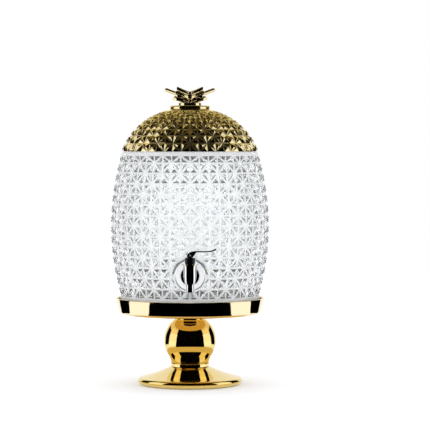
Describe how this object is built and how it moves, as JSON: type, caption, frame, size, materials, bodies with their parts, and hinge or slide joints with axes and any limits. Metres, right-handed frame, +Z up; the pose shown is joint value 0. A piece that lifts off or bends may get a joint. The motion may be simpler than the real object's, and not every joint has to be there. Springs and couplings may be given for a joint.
{
  "type": "beverage dispenser",
  "caption": "Star-cut glass drinks dispenser with a domed metal lid, a lever tap at the front, and a shallow tray on a ball stem and round foot.",
  "frame": {"origin": "on the jar's axis at the underside of the base pad", "axes": "+Z up along the jar's axis, -Y to the front where the tap is, +X to the right, where the tap's lever points at rest"},
  "size_m": [0.2256, 0.2631, 0.4269],
  "materials": {
    "gold": "polished, gold plated",
    "glass": "clear, star cut outside",
    "chrome": "polished",
    "steel": "plain zinc plated",
    "black_plastic": "glossy",
    "white_plastic": "satin",
    "clear_silicone": "soft, translucent",
    "white_silicone": "soft, matt",
    "felt": "felt"
  },
  "bodies": {
    "stand": {"foot": "gold", "base_pad": "felt", "stem_collar": "gold", "stem_ball": "gold", "tray_collar": "gold", "tray": "gold", "foot_washer": "steel", "foot_nut": "steel", "tie_bolt": "steel", "jar_pad": "clear_silicone"},
    "jar": {"jar": "glass", "tap_body": "chrome", "tap_flange": "white_plastic", "outer_washer": "white_silicone", "inner_washer": "clear_silicone", "back_nut": "white_plastic", "bonnet": "black_plastic", "valve_spring": "steel"},
    "plug": {"seat_cup": "clear_silicone"},
    "stem": {"valve_stem": "black_plastic", "lever_pin": "steel"},
    "lever": {"lever": "black_plastic"},
    "lid": {"lid": "gold", "lid_seal": "clear_silicone", "knob_washer": "steel", "knob_screw": "steel", "knob_base": "gold", "left_blossom": "gold", "right_blossom": "gold", "left_stamen": "gold", "right_stamen": "gold"}
  },
  "joints": [
    {"name": "jar_lift", "type": "slide", "parent": "stand", "child": "jar", "axis": [0, 0, 1], "range_m": [0, 0.25]},
    {"name": "lid_lift", "type": "slide", "parent": "jar", "child": "lid", "axis": [0, 0, 1], "range_m": [0, 0.15]},
    {"name": "valve_lift", "type": "slide", "parent": "jar", "child": "plug", "axis": [0, 0, 1], "range_m": [0, 0.0019], "stiffness_N_per_m": 20, "springref_m": -0.002, "deforming": ["valve_spring"]},
    {"name": "lever_swivel", "type": "hinge", "parent": "plug", "child": "stem", "pos_m": [0, -0.139, 0.1924], "axis": [0, 0, 1], "range_deg": [-218, 38]},
    {"name": "lever_tip", "type": "hinge", "parent": "stem", "child": "lever", "pos_m": [0, -0.139, 0.1924], "axis": [0, 1, 0], "range_deg": [0, 30]}
  ],
  "couplings": [
    {"joint": "lever_tip", "follows": "valve_lift", "rad_per_m": 275.5}
  ]
}
